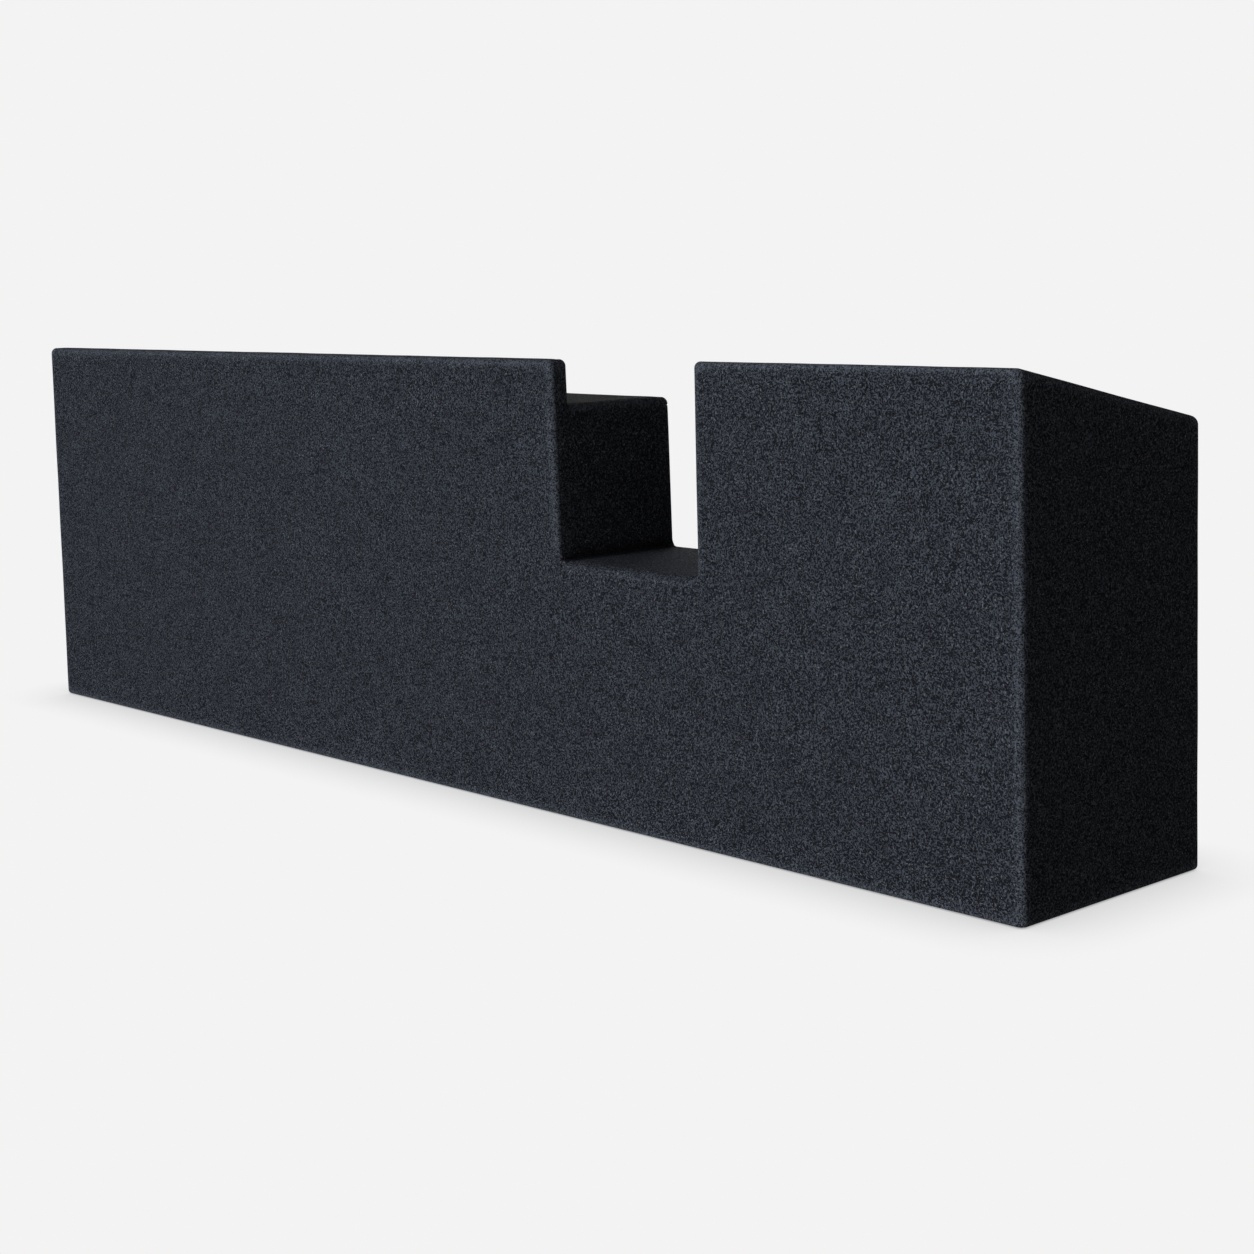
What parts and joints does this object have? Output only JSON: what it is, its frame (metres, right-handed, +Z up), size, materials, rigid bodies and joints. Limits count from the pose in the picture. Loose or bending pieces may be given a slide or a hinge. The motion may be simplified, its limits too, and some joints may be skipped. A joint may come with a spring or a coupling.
{
  "type": "felt-covered barrier block",
  "caption": "Long low free-standing barrier block of screwed boards wrapped in dark needle felt, with a U-notch in its top, a stepped left part and a deeper sloped right part.",
  "frame": {"origin": "on the floor, under the centre of the block's bounding box", "axes": "+X along the length, to the right as seen from the front; the front faces -Y; +Z up"},
  "size_m": [1.725, 0.278, 0.4999],
  "materials": {
    "felt": "matt needle-punched felt, charcoal with a blue cast",
    "board": "raw medium-density fibreboard",
    "screw": "zinc-plated steel"
  },
  "bodies": {
    "root": {"front_board": "board", "left_back_board": "board", "right_back_board": "board", "left_top_board": "board", "right_top_board": "board", "left_end_board": "board", "right_end_board": "board", "right_side_board": "board", "left_base_board": "board", "right_base_board": "board", "notch_left_board": "board", "notch_floor_board": "board", "left_rib_1": "board", "left_rib_2": "board", "front_screws": "screw", "left_back_screws": "screw", "right_back_screws": "screw", "left_top_screws": "screw", "right_top_screws": "screw", "base_screws": "screw", "end_screws": "screw", "joining_screws": "screw", "left_base_felt": "felt", "right_base_felt": "felt", "front_felt": "felt", "left_end_felt": "felt", "slope_felt": "felt", "right_back_felt": "felt", "right_side_felt": "felt", "notch_felt": "felt", "step_felt": "felt", "left_back_felt": "felt"}
  },
  "joints": []
}
